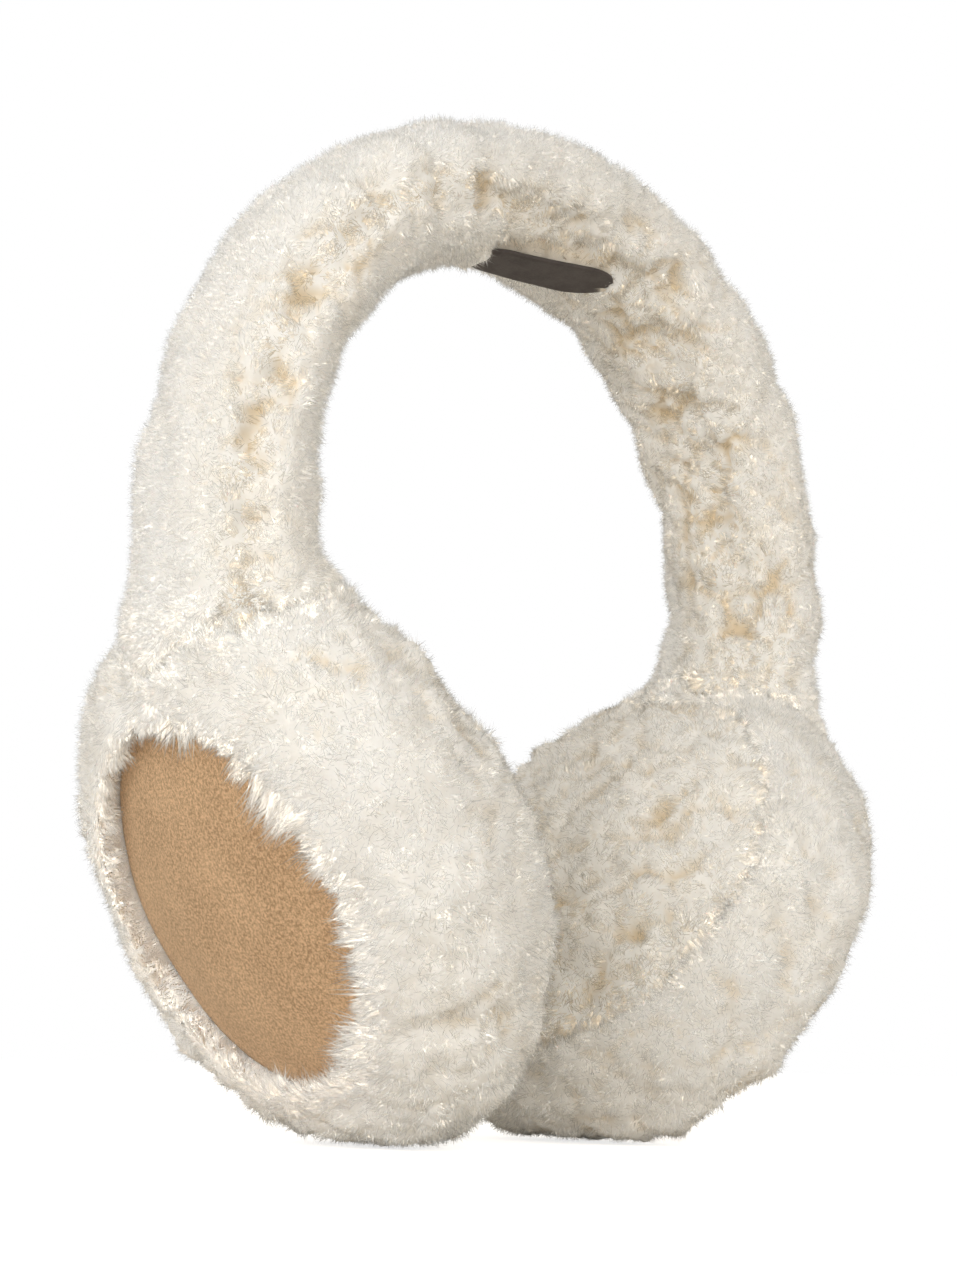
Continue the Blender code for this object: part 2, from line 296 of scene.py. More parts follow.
def make_light(name, place, target, size, power, colour):
    lamp = bpy.data.lights.new(name, "AREA")
    lamp.shape = "DISK"
    lamp.size = size
    lamp.energy = power
    lamp.color = colour
    light = bpy.data.objects.new(name, lamp)
    bpy.context.scene.collection.objects.link(light)
    light.location = place
    light.rotation_euler = (Vector(target) - Vector(place)).to_track_quat("-Z", "Y").to_euler()


def make_studio():
    """White behind everything, a dimmer warm light all round, and three soft lamps."""
    bpy.context.scene.view_settings.view_transform = "Standard"
    world = bpy.data.worlds.new("pale_studio")
    bpy.context.scene.world = world
    world.use_nodes = True
    nodes = world.node_tree.nodes
    links = world.node_tree.links
    nodes.clear()
    path = nodes.new("ShaderNodeLightPath")
    seen = nodes.new("ShaderNodeBackground")
    seen.inputs["Color"].default_value = (1.0, 1.0, 1.0, 1.0)
    seen.inputs["Strength"].default_value = 1.0
    lit = nodes.new("ShaderNodeBackground")
    lit.inputs["Color"].default_value = (1.0, 0.950, 0.865, 1.0)
    lit.inputs["Strength"].default_value = 0.51
    mix = nodes.new("ShaderNodeMixShader")
    output = nodes.new("ShaderNodeOutputWorld")
    links.new(path.outputs["Is Camera Ray"], mix.inputs["Fac"])
    links.new(lit.outputs["Background"], mix.inputs[1])
    links.new(seen.outputs["Background"], mix.inputs[2])
    links.new(mix.outputs["Shader"], output.inputs["Surface"])

    make_light("key", (-1.15, -0.25, 0.24), (0.0, 0.0, 0.09), size=1.0, power=6.1, colour=(0.98, 0.99, 1.0))
    make_light("right", (0.75, -0.90, 0.35), (0.0, 0.0, 0.08), size=0.8, power=1.1, colour=(1.0, 0.98, 0.94))
    make_light("low", (-0.60, -0.95, 0.04), (0.0, 0.0, 0.03), size=0.8, power=3.4, colour=(1.0, 0.98, 0.95))
    make_floor()


def make_floor():
    """A pale floor that looks plain white, and throws a little warm light back up."""
    mesh = bpy.data.meshes.new("studio_floor")
    half = 3.0
    corners = [(-half, -half, 0.0), (half, -half, 0.0), (half, half, 0.0), (-half, half, 0.0)]
    mesh.from_pydata(corners, [], [(0, 1, 2, 3)])
    floor = bpy.data.objects.new("studio_floor", mesh)
    floor.location.z = -0.2 * MM
    bpy.context.scene.collection.objects.link(floor)
    paint = bpy.data.materials.new("studio_white")
    paint.use_nodes = True
    shader = paint.node_tree.nodes["Principled BSDF"]
    shader.inputs["Base Color"].default_value = (0.86, 0.83, 0.78, 1.0)
    shader.inputs["Roughness"].default_value = 0.9
    shader.inputs["Emission Strength"].default_value = 0.75
    tree = paint.node_tree
    seen = tree.nodes.new("ShaderNodeLightPath").outputs["Is Camera Ray"]
    tree.links.new(add_mix(tree, seen, (0.0, 0.0, 0.0), (1.0, 1.0, 1.0)), shader.inputs["Emission Color"])
    mesh.materials.append(paint)


# Finishes


def new_group(name, inputs, outputs):
    """An empty shader node group with these named inputs and outputs."""
    group = bpy.data.node_groups.new(name, "ShaderNodeTree")
    for label, kind in inputs:
        group.interface.new_socket(name=label, in_out="INPUT", socket_type=kind)
    for label, kind in outputs:
        group.interface.new_socket(name=label, in_out="OUTPUT", socket_type=kind)
    start = group.nodes.new("NodeGroupInput")
    end = group.nodes.new("NodeGroupOutput")
    return group, start, end


def add_noise(tree, place, scale, detail=3.0, roughness=0.55):
    noise = tree.nodes.new("ShaderNodeTexNoise")
    noise.inputs["Detail"].default_value = detail
    noise.inputs["Roughness"].default_value = roughness
    tree.links.new(place, noise.inputs["Vector"])
    if isinstance(scale, (int, float)):
        noise.inputs["Scale"].default_value = scale
    else:
        tree.links.new(scale, noise.inputs["Scale"])
    return noise.outputs["Fac"]


def add_range(tree, value, low=0.0, high=1.0, to_low=0.0, to_high=1.0):
    """The value stretched from one range to another and held inside it."""
    stretch = tree.nodes.new("ShaderNodeMapRange")
    stretch.interpolation_type = "SMOOTHSTEP"
    tree.links.new(value, stretch.inputs["Value"])
    stretch.inputs["From Min"].default_value = low
    stretch.inputs["From Max"].default_value = high
    stretch.inputs["To Min"].default_value = to_low
    stretch.inputs["To Max"].default_value = to_high
    return stretch.outputs["Result"]


def add_maths(tree, kind, first, second):
    node = tree.nodes.new("ShaderNodeMath")
    node.operation = kind
    for k, value in enumerate((first, second)):
        if isinstance(value, (int, float)):
            node.inputs[k].default_value = value
        else:
            tree.links.new(value, node.inputs[k])
    return node.outputs["Value"]


def add_mix(tree, share, first, second):
    node = tree.nodes.new("ShaderNodeMix")
    node.data_type = "RGBA"
    for socket, value in ((node.inputs[0], share), (node.inputs[6], first), (node.inputs[7], second)):
        if isinstance(value, (int, float)):
            socket.default_value = value
        elif isinstance(value, tuple):
            socket.default_value = (*value, 1.0)
        else:
            tree.links.new(value, socket)
    return node.outputs[2]


def make_mottle_group():
    """Colour that drifts between a light and a deep tone in patches of two sizes."""
    group, start, end = new_group(
        "mottled_tone",
        (
            ("Light", "NodeSocketColor"),
            ("Deep", "NodeSocketColor"),
            ("Patch Scale", "NodeSocketFloat"),
            ("Fleck Scale", "NodeSocketFloat"),
            ("Fleck Share", "NodeSocketFloat"),
        ),
        (("Color", "NodeSocketColor"), ("Mask", "NodeSocketFloat")),
    )
    place = group.nodes.new("ShaderNodeTexCoord").outputs["Object"]
    patch = add_noise(group, place, start.outputs["Patch Scale"])
    patch = add_range(group, patch, low=0.32, high=0.68)
    fleck = add_noise(group, place, start.outputs["Fleck Scale"], detail=5.0, roughness=0.7)
    fleck = add_range(group, fleck, low=0.35, high=0.65)
    share = group.nodes.new("ShaderNodeMix")
    group.links.new(start.outputs["Fleck Share"], share.inputs[0])
    group.links.new(patch, share.inputs[2])
    group.links.new(fleck, share.inputs[3])
    mask = share.outputs[0]
    group.links.new(add_mix(group, mask, start.outputs["Light"], start.outputs["Deep"]), end.inputs["Color"])
    group.links.new(mask, end.inputs["Mask"])
    return group


def make_grain_group():
    """The height of a fine grain, with a coarser one under it."""
    group, start, end = new_group(
        "fine_grain",
        (("Scale", "NodeSocketFloat"), ("Coarse Share", "NodeSocketFloat")),
        (("Height", "NodeSocketFloat"),),
    )
    place = group.nodes.new("ShaderNodeTexCoord").outputs["Object"]
    fine = add_noise(group, place, start.outputs["Scale"], detail=6.0, roughness=0.75)
    coarse_scale = add_maths(group, "MULTIPLY", start.outputs["Scale"], 0.22)
    coarse = add_noise(group, place, coarse_scale, detail=3.0, roughness=0.6)
    share = group.nodes.new("ShaderNodeMix")
    group.links.new(start.outputs["Coarse Share"], share.inputs[0])
    group.links.new(fine, share.inputs[2])
    group.links.new(coarse, share.inputs[3])
    group.links.new(share.outputs[0], end.inputs["Height"])
    return group


def make_tan_and_shade_group():
    """Colour turned to tan by the value on each point of the wool. That value is partly the wool's own tan at
    its roots and in its tufts, and partly painted shade in its creases, along the seam, beside the tab and
    over the pads.
    """
    group, start, end = new_group(
        "tan_and_shade_tint",
        (("Color", "NodeSocketColor"), ("Tan", "NodeSocketColor")),
        (("Color", "NodeSocketColor"),),
    )
    tan_and_shade = group.nodes.new("ShaderNodeAttribute")
    tan_and_shade.attribute_name = "tan_and_shade"
    turned = add_mix(group, tan_and_shade.outputs["Fac"], start.outputs["Color"], start.outputs["Tan"])
    group.links.new(turned, end.inputs["Color"])
    return group


MOTTLE = make_mottle_group()
GRAIN = make_grain_group()
TAN_AND_SHADE_GROUP = make_tan_and_shade_group()


def new_material(name):
    material = bpy.data.materials.new(name)
    material.use_nodes = True
    tree = material.node_tree
    return material, tree, tree.nodes["Principled BSDF"]


def place_mottle(tree, light, deep, patch_scale, fleck_scale, fleck_share):
    node = tree.nodes.new("ShaderNodeGroup")
    node.node_tree = MOTTLE
    node.inputs["Light"].default_value = (*light, 1.0)
    node.inputs["Deep"].default_value = (*deep, 1.0)
    node.inputs["Patch Scale"].default_value = patch_scale
    node.inputs["Fleck Scale"].default_value = fleck_scale
    node.inputs["Fleck Share"].default_value = fleck_share
    return node


def place_tan_and_shade(tree, colour, tan):
    node = tree.nodes.new("ShaderNodeGroup")
    node.node_tree = TAN_AND_SHADE_GROUP
    node.inputs["Tan"].default_value = (*tan, 1.0)
    tree.links.new(colour, node.inputs["Color"])
    return node.outputs["Color"]


def place_grain(tree, shader, scale, coarse_share, strength, distance):
    """Raises the grain on the surface through a bump."""
    node = tree.nodes.new("ShaderNodeGroup")
    node.node_tree = GRAIN
    node.inputs["Scale"].default_value = scale
    node.inputs["Coarse Share"].default_value = coarse_share
    bump = tree.nodes.new("ShaderNodeBump")
    bump.inputs["Strength"].default_value = strength
    bump.inputs["Distance"].default_value = distance
    tree.links.new(node.outputs["Height"], bump.inputs["Height"])
    tree.links.new(bump.outputs["Normal"], shader.inputs["Normal"])


def make_wool_finish(name, reach, grain, fading):
    """Cream wool, tan towards the pelt, with painted tan shade in the hollows. Light spreads in it by the
    reach.

    With fading, each fibre thins out towards its tip, and its underside doesn't show.
    """
    material, tree, shader = new_material(name)
    tone = place_mottle(tree, CREAM_LIGHT, CREAM_DEEP,
                        patch_scale=60.0, fleck_scale=420.0, fleck_share=0.35)
    # the tan tint is the wool's own tan with painted shade laid over it
    warmed = place_tan_and_shade(tree, tone.outputs["Color"], TAN_AND_SHADE_COLOUR)
    tree.links.new(warmed, shader.inputs["Base Color"])
    roughness = add_range(tree, tone.outputs["Mask"], to_low=0.85, to_high=1.0)
    tree.links.new(roughness, shader.inputs["Roughness"])
    shader.inputs["Specular IOR Level"].default_value = 0.05
    shader.subsurface_method = "BURLEY"
    shader.inputs["Subsurface Weight"].default_value = 1.0
    shader.inputs["Subsurface Radius"].default_value = (1.0, 0.9, 0.78)
    shader.inputs["Subsurface Scale"].default_value = reach
    place_grain(tree, shader, scale=1500.0, coarse_share=0.4, strength=grain, distance=0.4 * MM)
    if fading:
        tip = tree.nodes.new("ShaderNodeAttribute")
        tip.attribute_name = "tip"
        thinned = add_maths(tree, "MULTIPLY", add_maths(tree, "POWER", tip.outputs["Fac"], 1.5), fading)
        left = add_maths(tree, "SUBTRACT", 1.0, thinned)
        under = tree.nodes.new("ShaderNodeNewGeometry").outputs["Backfacing"]
        upper = add_maths(tree, "SUBTRACT", 1.0, under)
        tree.links.new(add_maths(tree, "MULTIPLY", left, upper), shader.inputs["Alpha"])
    return material


def make_suede_finish():
    """Tan suede: a short nap, speckled light and deep, with a soft sheen at its edges."""
    material, tree, shader = new_material("tan_suede")
    tone = place_mottle(tree, SUEDE_LIGHT, SUEDE_DEEP,
                        patch_scale=70.0, fleck_scale=1900.0, fleck_share=0.85)
    tree.links.new(tone.outputs["Color"], shader.inputs["Base Color"])
    roughness = add_range(tree, tone.outputs["Mask"], to_low=0.82, to_high=0.98)
    tree.links.new(roughness, shader.inputs["Roughness"])
    shader.inputs["Specular IOR Level"].default_value = 0.2
    shader.inputs["Sheen Weight"].default_value = 0.55
    shader.inputs["Sheen Roughness"].default_value = 0.45
    shader.inputs["Sheen Tint"].default_value = (*SUEDE_SHEEN, 1.0)
    place_grain(tree, shader, scale=1900.0, coarse_share=0.3, strength=1.0, distance=0.35 * MM)
    return material


def make_leather_finish():
    """Smooth dark brown leather with a fine grain, and a satin shine worn brighter in places."""
    material, tree, shader = new_material("dark_leather")
    tone = place_mottle(tree, LEATHER_LIGHT, LEATHER_DEEP,
                        patch_scale=220.0, fleck_scale=1900.0, fleck_share=0.4)
    tree.links.new(tone.outputs["Color"], shader.inputs["Base Color"])
    roughness = add_range(tree, tone.outputs["Mask"], to_low=0.42, to_high=0.58)
    tree.links.new(roughness, shader.inputs["Roughness"])
    place_grain(tree, shader, scale=2400.0, coarse_share=0.4, strength=0.3, distance=0.12 * MM)
    return material


PELT_FINISH = make_wool_finish("cream_pelt", reach=2.2 * MM, grain=0.4, fading=0.0)
PILE_FINISH = make_wool_finish("cream_pile", reach=0.34 * MM, grain=0.1, fading=0.92)
SUEDE_FINISH = make_suede_finish()
LEATHER_FINISH = make_leather_finish()


# Wool pelt


def new_piece(name, mesh, material):
    """A shaded piece of the earmuffs that rides on their one body."""
    piece = bpy.data.objects.new(name, mesh)
    bpy.context.scene.collection.objects.link(piece)
    mesh.materials.clear()
    mesh.materials.append(material)
    mesh.shade_smooth()
    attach(piece, "root")
    return piece


def remeshed(node, step):
    """A new even mesh of the node's solid, with edges about one step long."""
    draft = bpy.data.objects.new("draft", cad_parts[node].data.copy())
    bpy.context.scene.collection.objects.link(draft)
    remesh = draft.modifiers.new("even", "REMESH")
    remesh.mode = "VOXEL"
    remesh.voxel_size = step
    soften = draft.modifiers.new("soften", "SMOOTH")
    soften.factor = 0.5
    soften.iterations = 4
    bpy.context.view_layer.update()
    seen = draft.evaluated_get(bpy.context.evaluated_depsgraph_get())
    mesh = bpy.data.meshes.new_from_object(seen)
    bpy.data.objects.remove(draft)
    return mesh


def mesh_points(mesh):
    points = np.zeros(len(mesh.vertices) * 3)
    mesh.vertices.foreach_get("co", points)
    return points.reshape(-1, 3)


def mesh_normals(mesh):
    normals = np.zeros(len(mesh.vertices) * 3)
    mesh.vertices.foreach_get("normal", normals)
    return normals.reshape(-1, 3)


def mesh_triangles(mesh):
    mesh.calc_loop_triangles()
    corners = np.zeros(len(mesh.loop_triangles) * 3, np.int64)
    mesh.loop_triangles.foreach_get("vertices", corners)
    return corners.reshape(-1, 3)


def blurred(mesh, values, rounds):
    """The values on a mesh's points, each averaged with its neighbours' this many times over."""
    ends = np.zeros(len(mesh.edges) * 2, np.int64)
    mesh.edges.foreach_get("vertices", ends)
    ends = ends.reshape(-1, 2)
    here = np.concatenate([ends[:, 0], ends[:, 1]])
    there = np.concatenate([ends[:, 1], ends[:, 0]])
    count = np.bincount(here, minlength=len(values))[:, None]
    mixed = np.array(values, float).reshape(len(values), -1)
    for _ in range(rounds):
        totals = [np.bincount(here, weights=part[there], minlength=len(values)) for part in mixed.T]
        mixed = 0.4 * mixed + 0.6 * np.stack(totals, axis=1) / count
    return mixed.reshape(np.shape(values))


def store(mesh, name, values):
    attribute = mesh.attributes.new(name, "FLOAT", "POINT")
    attribute.data.foreach_set("value", np.asarray(values, np.float32))


WOOL_NODES = [f"{side}_{part}" for side in ("left", "right") for part in ("cup_gusset", "ear_pad")]
WOOL_NODES.append("headband_sleeve")


def solids_tree(names):
    """One search tree over the surfaces of these solids."""
    points = []
    faces = []
    for name in names:
        start = len(points)
        points += [v.co.copy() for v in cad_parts[name].data.vertices]
        faces += [[start + k for k in face.vertices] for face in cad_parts[name].data.polygons]
    return BVHTree.FromPolygons(points, faces)


def open_share(node, points, normals, reach=1.45 * MM):
    """1 where the wool is in the open, and 0 where another piece lies against it."""
    tree = solids_tree([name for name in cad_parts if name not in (node, "leather_tab")])
    share = np.ones(len(points))
    for k, (point, normal) in enumerate(zip(points, normals)):
        start = Vector(point) - Vector(normal) * MM
        if tree.ray_cast(start, Vector(normal), reach)[0] is not None:
            share[k] = 0.0
    return share


def joint_share(node, points, reach=3.2 * MM):
    """1 beside a joint with another wool piece, falling to 0 over the reach, and the way to that piece."""
    tree = solids_tree([name for name in WOOL_NODES if name != node])
    found = [tree.find_nearest(Vector(point)) for point in points]
    gaps = np.array([hit[3] for hit in found])
    toward = unit(np.array([hit[0] for hit in found]) - points)
    return np.exp(-((gaps / reach) ** 2)), toward


def puffs(points, pitch, seed):
    """Round soft locks side by side: 1 at their tops and 0 in the creases between them."""
    _, _, first, second = nearest_locks(warped(points, pitch * 1.4, pitch * 0.35, seed + 5), pitch, seed)
    dome = 1.0 - np.minimum(first / 0.9, 1.0) ** 2
    crease = np.exp(-(((second - first) / 0.16) ** 2))
    return dome - 0.35 * crease


def wool_relief(points, curl):
    """How far the pelt's surface stands out at each point, from its locks of three sizes."""
    mean = 0.45
    large = puffs(points, LARGE_LOCK_PITCH, seed=11) - mean
    middle = puffs(points, MIDDLE_LOCK_PITCH, seed=23) - mean
    small = puffs(points, SMALL_LOCK_PITCH, seed=29) - mean
    drift = soft_noise(points, DRIFT_PITCH, seed=37)
    lift = LARGE_LOCK_HEIGHT * large * curl**1.5 + MIDDLE_LOCK_HEIGHT * middle * (0.05 + 0.95 * curl)
    return lift + SMALL_LOCK_HEIGHT * small * curl + DRIFT_HEIGHT * drift


def right_share(points):
    """0 on the left half of the band and 1 on the right half, changing over its top."""
    return smooth_step((points[:, 0] + 30.0 * MM) / (60.0 * MM))


def curl_on_sleeve(points):
    """The wool curls most beside the seam and down the right side, and lies smooth on the left."""
    right = right_share(points)
    near = np.exp(-((seam_gap(points) / (9.0 * MM + 8.0 * MM * right)) ** 2))
    patchy = 0.5 + 0.5 * soft_noise(points, 22.0 * MM, seed=51)
    return np.clip(0.03 + 0.85 * near + (0.08 + 0.17 * right) * patchy, 0.0, 1.0)


def curl_on_cup(points):
    patchy = 0.5 + 0.5 * soft_noise(points, 18.0 * MM, seed=57)
    return 0.18 + 0.62 * patchy


def curl_on_pad(points):
    patchy = 0.5 + 0.5 * soft_noise(points, 12.0 * MM, seed=63)
    return 0.45 + 0.50 * patchy


def tab_face(along):
    """How far the tab's face stands out of the band's section, this far from the tab's middle."""
    bow = 1.0 - (along / (TAB_LENGTH / 2)) ** 2
    return -TAB_TUCK + (TAB_PROUD + TAB_TUCK) * bow


def tab_cover(points):
    """Three shares of each point: under the leather tab, at its tucked ends, and along its edges."""
    along, turn = band_places(points)
    apart = turn - TAB_ANGLE - TAB_TWIST * (along - TAB_SHIFT) / TAB_LENGTH
    apart = (apart + math.pi) % (2.0 * math.pi) - math.pi
    across = np.abs(apart) * BAND_WIDTH / 2
    in_width = 1.0 - smooth_step((across - TAB_WIDTH / 2 + 1.6 * MM) / (1.4 * MM))
    past_end = np.abs(along - TAB_SHIFT) - TAB_LENGTH / 2
    in_length = 1.0 - smooth_step((past_end + 4.0 * MM) / (2.0 * MM))
    at_end = np.exp(-((past_end / (3.0 * MM)) ** 2))
    beside = np.exp(-(((across - TAB_WIDTH / 2) / (2.5 * MM)) ** 2)) * in_length
    return in_width * in_length, in_width * at_end, beside


def tab_bed(points, cover):
    """The covered points moved up against the tab, so that no gap shows between it and the wool."""
    along, turn = band_places(points)
    bed = points.copy()
    for k in np.nonzero(cover)[0]:
        point, normal = section_point(along[k], turn[k])
        inside = tab_face(along[k] - TAB_SHIFT) - TAB_THICKNESS / 2
        bed[k] = STANCE @ (point + normal * inside)
    return bed


def disc_frame(node):
    """The matrix of a suede disc's place: +Z is the outward axis, +Y points up to the band."""
    points = mesh_points(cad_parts[node].data)
    middle = points.mean(axis=0)
    axis = Vector(np.linalg.svd(points - middle, full_matrices=False)[2][2])
    if axis.x * middle[0] < 0:
        axis = -axis
    up = (Vector((0.0, 0.0, 1.0)) - axis * axis.z).normalized()
    turned = Matrix((up.cross(axis), up, axis)).transposed().to_4x4()
    return Matrix.Translation(Vector(middle)) @ turned


def disc_axis(side):
    """The unit vector out of the cup's outer face."""
    return np.array(disc_frame(f"{side}_suede_disc").col[2])[:3]


def cup_places(node, points):
    """Each point's gap to the cup's axis, its direction from it, and its height over the suede's middle."""
    matrix = disc_frame(f"{node.split('_')[0]}_suede_disc")
    axis = np.array(matrix.col[2])[:3]
    arm = points - np.array(matrix.translation)
    height = arm @ axis
    across = arm - axis * height[:, None]
    radius = np.linalg.norm(across, axis=1)
    return radius, across / np.maximum(radius, 1e-6)[:, None], height


def lip_share(node, points):
    """1 on the front of the lip round the suede, falling to 0 behind and away from it."""
    radius, outward, height = cup_places(node, points)
    front = 0.5 - 0.5 * outward[:, 1]
    near = np.exp(-(((radius - SUEDE_RADIUS) / (7.0 * MM)) ** 2))
    return near * front * (height > 0.0)


def make_pelt(name, node, curl_of):
    """The skin side of the wool: the solid's own form with its locks raised, and room left for the pile.

    Gives the mesh back with what the pile needs at each point. growth is the way that the fibres grow.
    """
    mesh = remeshed(node, PELT_STEP)
    mesh.name = name
    points = mesh_points(mesh)
    normals = mesh_normals(mesh)
    is_open = open_share(node, points, normals)
    curl = curl_of(points)
    cover, tucked, beside = tab_cover(points) if node == "headband_sleeve" else np.zeros((3, len(points)))
    relief = wool_relief(points, curl) * (1.0 - cover) + TAB_END_FILL * tucked
    joint, toward = joint_share(node, points)
    relief += JOINT_FILL * joint
    at_lip = np.zeros(len(points))
    if node.endswith("cup_gusset"):
        relief += LIP_SWELL * lip_share(node, points)
        radius, _, height = cup_places(node, points)
        at_lip = np.exp(-(((radius - SUEDE_RADIUS) / (6.0 * MM)) ** 2)) * (height > -3.0 * MM)
    moved = points + normals * ((relief - PELT_SINK) * is_open * (1.0 - cover))[:, None]
    moved += (tab_bed(points, cover) - moved) * cover[:, None]
    moved[:, 2] = np.maximum(moved[:, 2], PELT_FLOOR_GAP)
    mesh.vertices.foreach_set("co", moved.astype(np.float32).ravel())
    mesh.update()
    # Painted shade: the pelt's tan is stored deepest in the creases between its locks, and is kept off the
    # lip round the suede.
    hollow = np.clip(-0.1 - relief / (1.6 * MM), 0.0, 1.0) * (1.0 - at_lip)
    # Painted shade along the leather tab's long edges, where the wool meets it.
    hollow = np.maximum(hollow, 0.6 * beside)
    store(mesh, "tan_and_shade", 0.05 + 0.85 * hollow)
    pelt = new_piece(name, mesh, PELT_FINISH)
    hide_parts(node)
    growth = unit(mesh_normals(mesh) * 0.8 + unit(blurred(mesh, normals, 14)))
    bare = is_open * (1.0 - cover)
    return {
        "mesh": mesh,
        "growth": growth,
        "open": bare,
        "curl": curl,
        "hollow": hollow,
        "joint": joint,
        "toward": toward,
    }


# Wool pile


def scatter(pelt, count, random):
    """Roots spread over the open part of a pelt, closer at joints, with the pelt's values at each."""
    points = mesh_points(pelt["mesh"])
    growth = pelt["growth"]
    faces = mesh_triangles(pelt["mesh"])
    corners = points[faces]
    area = np.linalg.norm(np.cross(corners[:, 1] - corners[:, 0], corners[:, 2] - corners[:, 0]), axis=1)
    dense = 1.0 + 2.5 * pelt["joint"][faces].mean(axis=1)
    weight = area * dense * pelt["open"][faces].min(axis=1)
    picked = random.choice(len(faces), size=count, p=weight / weight.sum())
    first = random.random(count)
    second = random.random(count)
    over = first + second > 1.0
    first[over] = 1.0 - first[over]
    second[over] = 1.0 - second[over]
    shares = np.stack([1.0 - first - second, first, second], axis=1)[..., None]
    found = faces[picked]
    roots = (points[found] * shares).sum(axis=1)
    facing = unit((growth[found] * shares).sum(axis=1))
    values = {key: (pelt[key][found] * shares[..., 0]).sum(axis=1) for key in ("curl", "hollow", "joint")}
    values["toward"] = (pelt["toward"][found] * shares).sum(axis=1)
    return roots, facing, values


def flattened(vectors, normals):
    """The part of each vector that lies along the surface."""
    return vectors - normals * (vectors * normals).sum(axis=1)[:, None]


def hanging(facing):
    """The way down along the surface, which the wool follows a little under its own weight."""
    return flattened(np.tile([0.0, 0.0, -1.0], (len(facing), 1)), facing) * 0.3


def fibre_mesh(name, starts, tips, facing, width, shade, warm_root, warm_tip):
    """One mesh of slim tapered fibres, each folded along its back, and the normals for its shading.

    Each fibre has four points: its root's one side, ridge and other side, and its tip.
    """
    count = len(starts)
    run = unit(tips - starts)
    # a small share of another way keeps the fold of a fibre that stands straight up
    back = unit(flattened(facing + 0.15 * np.roll(facing, 1, axis=1), run))
    side = np.cross(run, back)
    half = width[:, None] / 2
    points = np.stack([starts + side * half, starts + back * half * 0.8, starts - side * half, tips], axis=1)
    points[..., 2] = np.maximum(points[..., 2], FIBRE_FLOOR_GAP)
    shades = np.stack([unit(shade + side * 0.1), shade, unit(shade - side * 0.1), shade], axis=1)
    mesh = bpy.data.meshes.new(name)
    mesh.vertices.add(count * 4)
    mesh.vertices.foreach_set("co", points.astype(np.float32).ravel())
    offset = np.arange(count)[:, None] * 4
    loops = np.concatenate([offset + np.array(face) for face in ((1, 0, 3), (2, 1, 3))], axis=1)
    mesh.loops.add(count * 6)
    mesh.loops.foreach_set("vertex_index", loops.ravel().astype(np.int32))
    mesh.polygons.add(count * 2)
    mesh.polygons.foreach_set("loop_start", (np.arange(count * 2) * 3).astype(np.int32))
    mesh.update(calc_edges=True)
    # tan for the root and the tip of each fibre: the wool's own tan together with painted shade
    tan_and_shade = np.stack([warm_root, warm_root, warm_root, warm_tip], axis=1)
    store(mesh, "tan_and_shade", tan_and_shade.ravel())
    store(mesh, "tip", np.tile([0.0, 0.0, 0.0, 1.0], count))
    return mesh, shades.reshape(-1, 3)


def soften_shade(piece):
    """Wool lets light through, so its fibres throw no hard shadow on one another."""
    piece.visible_shadow = False
    piece.visible_diffuse = False


def make_pile(name, node, roots, facing, values, comb, random):
    """A pile of short fibres that lean this way and that, and draw together into tufts."""
    count = len(roots)
    loose = warped(roots, 5.0 * MM, 1.5 * MM, seed=71)
    tuft, tuft_shares, _, _ = nearest_locks(loose, TUFT_PITCH, seed=73)
    loose = warped(roots, 9.0 * MM, 2.5 * MM, seed=81)
    _, lock_shares, _, _ = nearest_locks(loose, LOCK_PITCH, seed=83)
    curl = values["curl"]

    own_way = unit(flattened(random.normal(size=(count, 3)), facing))
    tuft_way = flattened(tuft_shares * 2.0 - 1.0, facing)
    lock_way = flattened(lock_shares * 2.0 - 1.0, facing)
    across = flattened(values["toward"], facing) * values["joint"][:, None] * 1.5
    shared_way = (tuft_way * 1.3 + lock_way * 0.5) * curl[:, None]
    way = unit(own_way * 0.9 + shared_way + comb + across)

    hollow = values["hollow"]
    reach = FIBRE_LENGTH * (0.70 + 0.6 * random.random(count)) * (1.0 + 0.5 * values["joint"] - 0.45 * hollow)
    lean = np.radians(LEAST_LEAN + LEAN_SPREAD * random.random(count) + 6.0 * curl + 6.0 * values["joint"])
    height = reach * np.cos(lean)
    drift = reach * np.sin(lean)
    pull = flattened(tuft - roots, facing) * (0.20 + 0.45 * curl)[:, None]

    starts = roots - facing * ROOT_DEPTH
    tips = roots + facing * height[:, None] + way * drift[:, None] + pull
    width = FIBRE_WIDTH * (0.8 + 0.4 * random.random(count))

    rounded = flattened(roots - tuft, facing) / (2.0 * MM)
    shade = unit(facing + rounded * (0.10 + 1.10 * curl)[:, None] + values["lift"])
    patch = 0.5 + 0.5 * lock_shares[:, 0]
    # Painted shade in the hollows, along the seam and over the pads, with the tufts' own tan tone that
    # differs at random; roots are tanner than tips.
    warm = hollow + values["tan"] * patch + 0.35 * curl * tuft_shares[:, 1] ** 2
    warm_root = np.clip(0.02 + 0.95 * warm, 0.0, 1.0)
    warm_tip = np.clip(0.8 * warm, 0.0, 1.0)
    mesh, shades = fibre_mesh(name, starts, tips, facing, width, shade, warm_root, warm_tip)
    pile = new_piece(name, mesh, PILE_FINISH)
    mesh.normals_split_custom_set_from_vertices(shades)
    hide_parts(node)
    soften_shade(pile)


